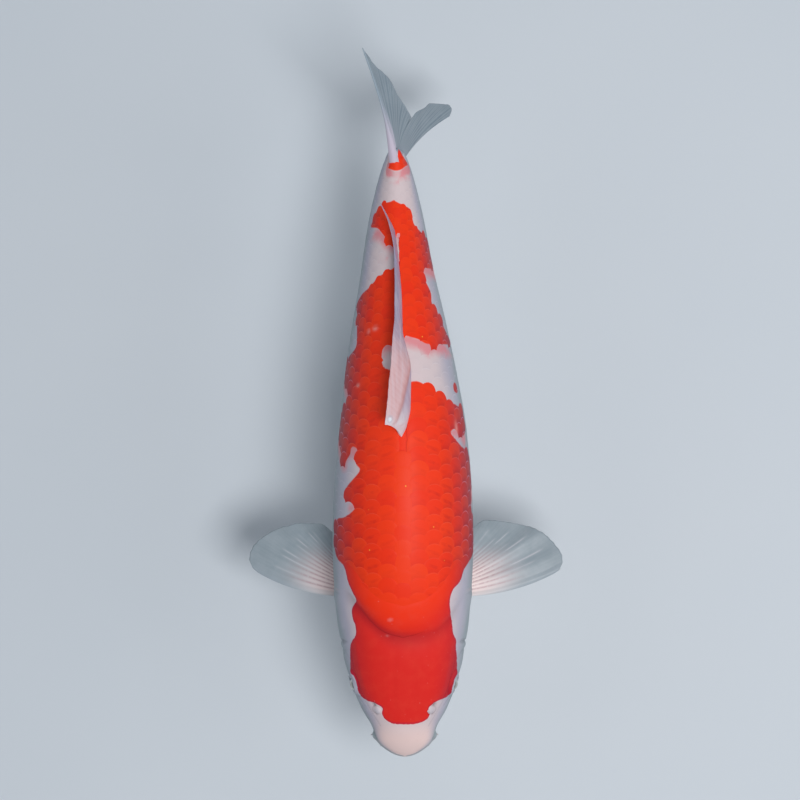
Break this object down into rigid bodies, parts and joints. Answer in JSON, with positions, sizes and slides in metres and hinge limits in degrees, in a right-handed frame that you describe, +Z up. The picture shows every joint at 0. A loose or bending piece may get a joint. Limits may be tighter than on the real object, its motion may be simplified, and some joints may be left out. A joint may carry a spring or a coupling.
{
  "type": "koi carp display model",
  "caption": "Life-size still koi carp, red on white, fins spread and dorsal fin folded, held over an oval base by short upright rods.",
  "frame": {"origin": "middle of the stand base's underside, below the fish's balance point", "axes": "+Z up, +Y from the fish's head to its tail, +X to the fish's left"},
  "size_m": [0.2935, 0.6401, 0.2913],
  "materials": {
    "head_skin": "smooth wet skin, red over pinkish white",
    "scaled_skin": "overlapping scales, red patches on white",
    "pale_skin": "smooth pinkish white skin",
    "fin": "thin blue-grey web between pale rays",
    "eye": "glossy, dark pupil in a pale gold iris",
    "stand_base": "satin pale grey lacquer",
    "stand_rod": "brushed steel"
  },
  "bodies": {
    "root": {"head": "head_skin", "lower_jaw": "pale_skin", "gill_cover_left": "pale_skin", "gill_cover_right": "pale_skin", "eye_left": "eye", "eye_right": "eye", "barbel_front_left": "pale_skin", "barbel_front_right": "pale_skin", "barbel_rear_left": "pale_skin", "barbel_rear_right": "pale_skin", "trunk_front": "scaled_skin", "trunk_rear": "scaled_skin", "tail_stem": "scaled_skin", "dorsal_fin": "fin", "anal_fin": "fin", "caudal_fin_upper": "fin", "caudal_fin_lower": "fin", "pectoral_fin_left": "fin", "pectoral_fin_right": "fin", "pelvic_fin_left": "fin", "pelvic_fin_right": "fin", "stand_base": "stand_base", "stand_rod_front": "stand_rod", "stand_rod_rear": "stand_rod"}
  },
  "joints": []
}
